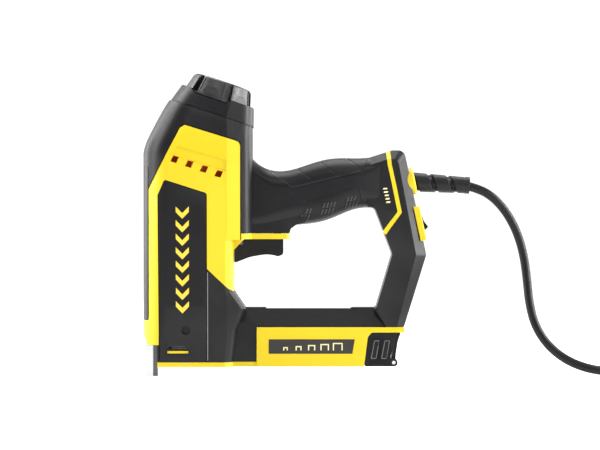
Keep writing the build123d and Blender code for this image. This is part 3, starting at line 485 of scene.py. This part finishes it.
def make_marks(side, word):
    """All the raised marks on one side of the tool."""
    housing, grip = f"housing_{word}", f"grip_{word}"
    side_panel, inset = f"side_panel_{word}", f"inset_panel_{word}"
    x, z = CHEVRON_FIRST
    marks = [shape for k in range(CHEVRONS) for shape in chevron(x, z + CHEVRON_STEP * k)]
    raised(f"panel_mark_{word}", marks, [inset], side, 0.12, PRINT_YELLOW)
    x, z = STAPLE_FIRST
    staples = []
    for k, (width, height) in enumerate(STAPLE_SIZES):
        staples += staple(x + STAPLE_STEP * k, z, width, height)
    raised(f"label_mark_{word}", staples, [f"label_{word}"], side, 0.1, PRINT_CREAM)
    x, z = TICK_FIRST
    ticks = [
        bar(x - TICK_LEAN * TICK_STEP * k, z + TICK_STEP * k, 3.0, 1.2, 0.6) for k in range(TICKS)
    ]
    raised(f"handle_mark_{word}", ticks, [housing], side, 0.1, PRINT_CREAM)
    lip = [bar(-90.6, 18.4, 16.0, 1.9)]
    raised(f"window_lip_{word}", lip, [housing], side, 1.9, MATERIALS["yellow_panel"])
    # The finger ribs take the lighter rubber, a painted sheen.
    fingers = raised(
        f"finger_ribs_{word}", finger_ribs(), [grip], side, 0.6, SHEEN_RUBBER, cell=1.5, sink=0.3
    )
    # Painted highlight lines beside the grip's grooves.
    groove_highlight_bands = [line(*ends) for ends in GROOVE_HIGHLIGHTS]
    groove_highlight_piece = raised(f"grip_groove_highlight_{word}", groove_highlight_bands, [grip], side, 0.06, SHEEN_RUBBER)
    # Painted highlight: light grey outlines round the two recessed frames on the magazine's end
    # cap.
    cap_highlight_lines = []
    for x in (66.6, 74.6):
        corners = bar(x, 14.2, 3.6, 13.6, 2.6)
        cap_highlight_lines += lines_through(corners + corners[:1], 0.42)
    cap = ["magazine_end_cap"]
    raised(f"cap_frame_highlights_{word}", cap_highlight_lines, cap, side, 0.1, HIGHLIGHT_GREY, body="drawer")
    # Painted shadow along the seams round the yellow panel and the inset panel.
    rim = lines_through(PANEL_RIM, RIM_WIDTH) + lines_through(INSET_RIM, RIM_WIDTH)
    panels = [housing, side_panel, inset]
    raised(f"panel_rim_{word}", rim, panels, side, 0.05, SEAM_SHADOW, reach=0.35)
    # Painted highlight: a light grey strip along the rear edge of the inset panel.
    edge = [bar(-59.9, 13.0, 0.7, 68.0)]
    raised(f"panel_edge_highlight_{word}", edge, [housing], side, 0.1, HIGHLIGHT_GREY, cell=4.0)


make_marks(-1, "left")
make_marks(1, "right")


# ---- Ridges beside the power dial's grip grooves, in metres on the dial's own axis ----
DIAL_PLACE, DIAL_TILT = (-0.0569, 0, 0.2033), math.radians(18.5)
DIAL_FRAME = Matrix.Translation(DIAL_PLACE) @ Matrix.Rotation(DIAL_TILT, 4, "Y")
DIAL_LOW, DIAL_HIGH = (0.02615, 0.0142), (0.0230, 0.0252)  # radius and height on the cone
GROOVES, FIRST_GROOVE, GROOVE_HALF_TURN = 6, -72.5, 8.2  # the turns are in degrees
RIDGE_HALF, RIDGE_PROUD, RIDGE_SUNK, RIDGE_TAPER = 0.00045, 0.00045, 0.0004, 0.7


def make_dial_ridges():
    """Two thin upright ridges beside each of the dial's grooves, following its cone."""
    top_half = RIDGE_HALF * RIDGE_TAPER
    section = (
        (-RIDGE_SUNK, -RIDGE_HALF),
        (RIDGE_PROUD, -top_half),
        (RIDGE_PROUD, top_half),
        (-RIDGE_SUNK, RIDGE_HALF),
    )
    bm = bmesh.new()
    for k in range(GROOVES):
        for side in (-1, 1):
            angle = FIRST_GROOVE + 360 / GROOVES * k + side * GROOVE_HALF_TURN
            place = DIAL_FRAME @ Matrix.Rotation(math.radians(angle), 4, "Z")
            rings = [
                [bm.verts.new(place @ Vector((radius + out, y, height))) for out, y in section]
                for radius, height in (DIAL_LOW, DIAL_HIGH)
            ]
            join_rings(bm, rings, closed_end=True)
    rigid_piece("dial_ridges", bm, MATERIALS["dial_plastic"], "dial", smooth=False)


make_dial_ridges()


# ---- Springs ----
SPRING_STEPS, SPRING_SECTION = 20, 8  # points round one turn, and round the wire


def make_spring(
    node, start, along, side, length, radius, wire, turns, fixed_at_start
):
    """Helical spring, in millimetres, from `start` along an axis."""
    start, along, side = Vector(start), Vector(along), Vector(side)
    third = along.cross(side)
    steps = SPRING_STEPS * turns
    slope = length / (2 * math.pi * turns)
    bm = bmesh.new()
    rings = []
    for i in range(steps + 1):
        a = turned(i, SPRING_STEPS)
        out = side * math.cos(a) + third * math.sin(a)
        run = (third * math.cos(a) - side * math.sin(a)) * radius + along * slope
        lift = run.cross(out).normalized()
        centre = start + along * (length * i / steps) + out * radius
        spokes = [
            out * math.cos(b) + lift * math.sin(b)
            for b in (turned(j, SPRING_SECTION) for j in range(SPRING_SECTION))
        ]
        rings.append([bm.verts.new((centre + spoke * wire / 2) / MM) for spoke in spokes])
    join_rings(bm, rings, closed_end=True)
    spring = mesh_object(f"{node}_coils", bm, MATERIALS["spring_steel"])
    first, last = start / MM, (start + along * length) / MM
    if not fixed_at_start:
        first, last = last, first
    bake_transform(spring)
    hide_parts(node)


make_spring(
    node="return_spring",
    start=(-68, 0, 62.8),
    along=(0, 0, 1),
    side=(1, 0, 0),
    length=36.4,
    radius=6.2,
    wire=1.6,
    turns=8,
    fixed_at_start=True,
)
make_spring(
    node="pusher_spring",
    start=(-27.5, 0, 15),
    along=(1, 0, 0),
    side=(0, 1, 0),
    length=90,
    radius=2.3,
    wire=0.6,
    turns=34,
    fixed_at_start=False,
)
make_spring(
    node="trigger_spring",
    start=(-20, 0, 110.2),
    along=(0, 0, 1),
    side=(1, 0, 0),
    length=6.2,
    radius=2.6,
    wire=0.7,
    turns=4,
    fixed_at_start=False,
)


# ---- Strain relief: tapered boot with a winding groove, in metres ----
BOOT_START, BOOT_END = Vector((0.0915, 0, 0.1514)), Vector((0.1436, 0, 0.1482))
BOOT_ROWS, BOOT_AROUND = 190, 72
BOOT_RADII = 0.0078, 0.00625  # at the casing and at the cord
GROOVE_FROM, GROOVE_PHASE, GROOVE_END_GAP = 0.009, 0.0125, 0.004
GROOVE_PITCH, GROOVE_HALF, GROOVE_SLOPE, GROOVE_DEPTH = 0.0147, 0.0016, 0.0004, 0.0026
BRIDGE_ANGLE, BRIDGE_COS = 0.9, 0.94  # two bridges across the groove, on opposite sides
LIP_LENGTH, LIP_PROUD = 0.0035, 0.00028  # at the end where the cord leaves
BOOT_MOUTH = ((0.0058, 0.0), (0.0049, 0.0006), (0.0034, 0.0010))  # radius, distance inside


def boot_radius(s, a, length):
    """Radius of the boot at distance `s` along it and angle `a` round it."""
    thick, thin = BOOT_RADII
    radius = thick + (thin - thick) * s / length
    bridge = math.cos(2 * (a - BRIDGE_ANGLE)) > BRIDGE_COS
    if GROOVE_FROM < s < length - GROOVE_END_GAP and not bridge:
        turn = ((s - GROOVE_PHASE) / GROOVE_PITCH - (a + math.pi / 2) / (2 * math.pi)) % 1.0
        gap = min(turn, 1 - turn) * GROOVE_PITCH
        radius -= GROOVE_DEPTH * (1 - min(max((gap - GROOVE_HALF) / GROOVE_SLOPE, 0), 1))
    if s > length - LIP_LENGTH:
        radius += LIP_PROUD
    return radius


def make_boot():
    axis = (BOOT_END - BOOT_START).normalized()
    length = (BOOT_END - BOOT_START).length
    across = Vector((0, 1, 0))
    up = axis.cross(across)
    angles = [turned(j, BOOT_AROUND) for j in range(BOOT_AROUND)]
    bm = bmesh.new()

    def ring(s, radii):
        return [
            bm.verts.new(
                BOOT_START + axis * s + (across * math.cos(a) + up * math.sin(a)) * radius
            )
            for a, radius in zip(angles, radii)
        ]

    rings = []
    for i in range(BOOT_ROWS + 1):
        s = length * i / BOOT_ROWS
        rings.append(ring(s, [boot_radius(s, a, length) for a in angles]))
    for radius, inside in BOOT_MOUTH:
        rings.append(ring(length - inside, [radius] * BOOT_AROUND))
    join_rings(bm, rings, closed_end=False)
    boot = rigid_piece("boot", bm, MATERIALS["rubber_black"])
    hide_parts("strain_relief")
    return boot


# ---- Mains cord: the route's points, in metres ----
CORD_DIAMETER = 0.007
DROP = [  # from inside the boot down to the floor and along it to the coil
    (0.1360, 0.0, 0.1494),
    (0.1505, 0.0, 0.1460),
    (0.1630, 0.0, 0.1386),
    (0.1736, 0.0003, 0.1260),
    (0.1815, 0.0006, 0.1105),
    (0.1863, 0.0004, 0.0930),
    (0.1885, -0.0008, 0.0750),
    (0.1900, -0.0025, 0.0570),
    (0.1940, -0.0046, 0.0398),
    (0.2032, -0.0070, 0.0246),
    (0.2170, -0.0098, 0.0130),
    (0.2336, -0.0130, 0.0062),
    (0.2516, -0.0170, 0.0040),
    (0.2696, -0.0216, 0.0037),
    (0.2880, -0.0254, 0.0036),
]
RING_X, RING_Y = 0.306, 0.015
WIDE, NARROW = 0.0425, 0.0355  # radii of the outer and the inner turns
LAYERS = [  # height of a layer, and the radii of its two turns
    (0.0035, WIDE, NARROW),
    (0.0105, NARROW, WIDE),
    (0.0175, WIDE, NARROW),
    (0.0245, NARROW, WIDE),
]
POINTS_PER_TURN = 16
POINTS_LEFT_OUT = 5  # at the end of the last turn, where the cord leaves for the plug
COIL_START = math.radians(-90)
STEP_FROM = 0.7  # share of a turn after which the cord steps over to the next one
TAIL = [  # over the top of the coil to the plug
    (0.2622, 0.0125, 0.0250),
    (0.2628, -0.0043, 0.0266),
    (0.2700, -0.0193, 0.0300),
    (0.2835, -0.0290, 0.0336),
    (0.3006, -0.0306, 0.0354),
    (0.3165, -0.0241, 0.0355),
]


def coil_points():
    """Turns of the coil: two in each layer, with a step sideways or up at the end of each."""
    levels = [(z, r) for z, first, second in LAYERS for r in (first, second)]
    points = []
    for i in range(1, len(levels) * POINTS_PER_TURN - POINTS_LEFT_OUT):
        turn, step = divmod(i, POINTS_PER_TURN)
        share = step / POINTS_PER_TURN
        z, r = levels[turn]
        if share > STEP_FROM and turn + 1 < len(levels):
            blend = (share - STEP_FROM) / (1 - STEP_FROM)
            blend = blend * blend * (3 - 2 * blend)
            next_z, next_r = levels[turn + 1]
            z, r = z + (next_z - z) * blend, r + (next_r - r) * blend
        a = COIL_START + turned(i, POINTS_PER_TURN)
        points.append((RING_X + r * math.cos(a), RING_Y + r * math.sin(a), z))
    return points


def make_cord():
    route = DROP + coil_points() + TAIL
    curve = bpy.data.curves.new("mains_cord", "CURVE")
    curve.dimensions = "3D"
    spline = curve.splines.new("NURBS")
    spline.points.add(len(route) - 1)
    for point, co in zip(spline.points, route):
        point.co = (*co, 1.0)
    spline.order_u = 3
    spline.use_endpoint_u = True
    spline.resolution_u = 6
    curve.bevel_depth = CORD_DIAMETER / 2
    curve.bevel_resolution = 6
    curve.use_fill_caps = True
    cord = bpy.data.objects.new("mains_cord", curve)
    scene.collection.objects.link(cord)
    curve.materials.append(MATERIALS["cord_rubber"])
    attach(cord, "housing")
    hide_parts("power_cord", "cord_coil", "cord_tail")
    return cord


boot = make_boot()
cord = make_cord()


# ---- Floor, light and camera ----
FLOOR_HALF, FLOOR_END, SWEEP_RADIUS, WALL_TOP, SWEEP_STEPS = 14.0, 8.0, 2, 9.0, 12
MIDDLE = (0.0, 0.0, 0.12)  # where the lights point
LIGHTS = (  # name, place, width, height (None for a square), power in watts
    ("front_top", (0.0, -1.45, 1.5), 1.2, 0.5, 8),
    ("top", (0.0, 0.3, 1.4), 1.0, None, 22),
    ("high_left", (-1.1, 0.1, 1.2), 0.7, None, 20),
    ("fill_right", (0.95, -1.35, 0.3), 0.25, 1.2, 6),
    ("side_left", (-1.2, -0.3, 0.4), 0.5, 1.2, 18),
    ("side_right", (1.2, -0.3, 0.35), 0.3, 1.2, 34),
    ("rim_left", (-1.0, 0.5, 0.25), 0.6, 1.4, 14),
    ("rim_right", (1.0, 0.5, 0.25), 0.6, 1.4, 20),
)
CAMERA_X, CAMERA_DISTANCE, CAMERA_Z = 0.0115, 1.75, 0.1174
VIEW_WIDTH = 0.468  # metres across the picture, at the tool
SENSOR = 36.0


def make_floor():
    """Pale sweep: flat floor that curves up into a backdrop behind the tool."""
    profile = [(-FLOOR_HALF, 0.0), (FLOOR_END, 0.0)]
    for k in range(1, SWEEP_STEPS + 1):
        a = math.pi / 2 * k / SWEEP_STEPS
        out, up = SWEEP_RADIUS * math.sin(a), SWEEP_RADIUS * (1 - math.cos(a))
        profile.append((FLOOR_END + out, up))
    profile.append((FLOOR_END + SWEEP_RADIUS, WALL_TOP))
    bm = bmesh.new()
    left, right = (
        [bm.verts.new((x, y, z)) for y, z in profile] for x in (-FLOOR_HALF, FLOOR_HALF)
    )
    for k in range(len(profile) - 1):
        bm.faces.new((left[k], right[k], right[k + 1], left[k + 1]))
    material = bpy.data.materials.new("floor_pale")
    material.use_nodes = True
    shader = material.node_tree.nodes["Principled BSDF"]
    socket(shader, "Base Color", (0.4, 0.4, 0.4, 1))
    socket(shader, "Roughness", 0.9)
    socket(shader, "Emission Color", (1, 1, 1, 1))
    socket(shader, "Emission Strength", 0.97)
    mesh_object("floor", bm, material)


def area_light(name, place, width, height, power):
    light = bpy.data.lights.new(name, "AREA")
    light.energy = power
    light.size = width
    if height:
        light.shape = "RECTANGLE"
        light.size_y = height
    obj = bpy.data.objects.new(name, light)
    obj.location = place
    towards = Vector(MIDDLE) - Vector(place)
    obj.rotation_euler = towards.to_track_quat("-Z", "Y").to_euler()
    scene.collection.objects.link(obj)


def make_world():
    world = bpy.data.worlds.new("studio")
    world.use_nodes = True
    background = world.node_tree.nodes["Background"]
    socket(background, "Color", (1, 1, 1, 1))
    socket(background, "Strength", 0.10)
    scene.world = world


def make_camera():
    """Level camera square to the tool's left side."""
    data = bpy.data.cameras.new("camera")
    data.sensor_width = SENSOR
    data.lens = SENSOR * CAMERA_DISTANCE / VIEW_WIDTH
    camera = bpy.data.objects.new("camera", data)
    camera.location = (CAMERA_X, -CAMERA_DISTANCE, CAMERA_Z)
    camera.rotation_euler = (math.radians(90), 0, 0)
    scene.collection.objects.link(camera)
    scene.camera = camera


make_floor()
make_world()
for light in LIGHTS:
    area_light(*light)
make_camera()
scene.view_settings.view_transform = "Standard"
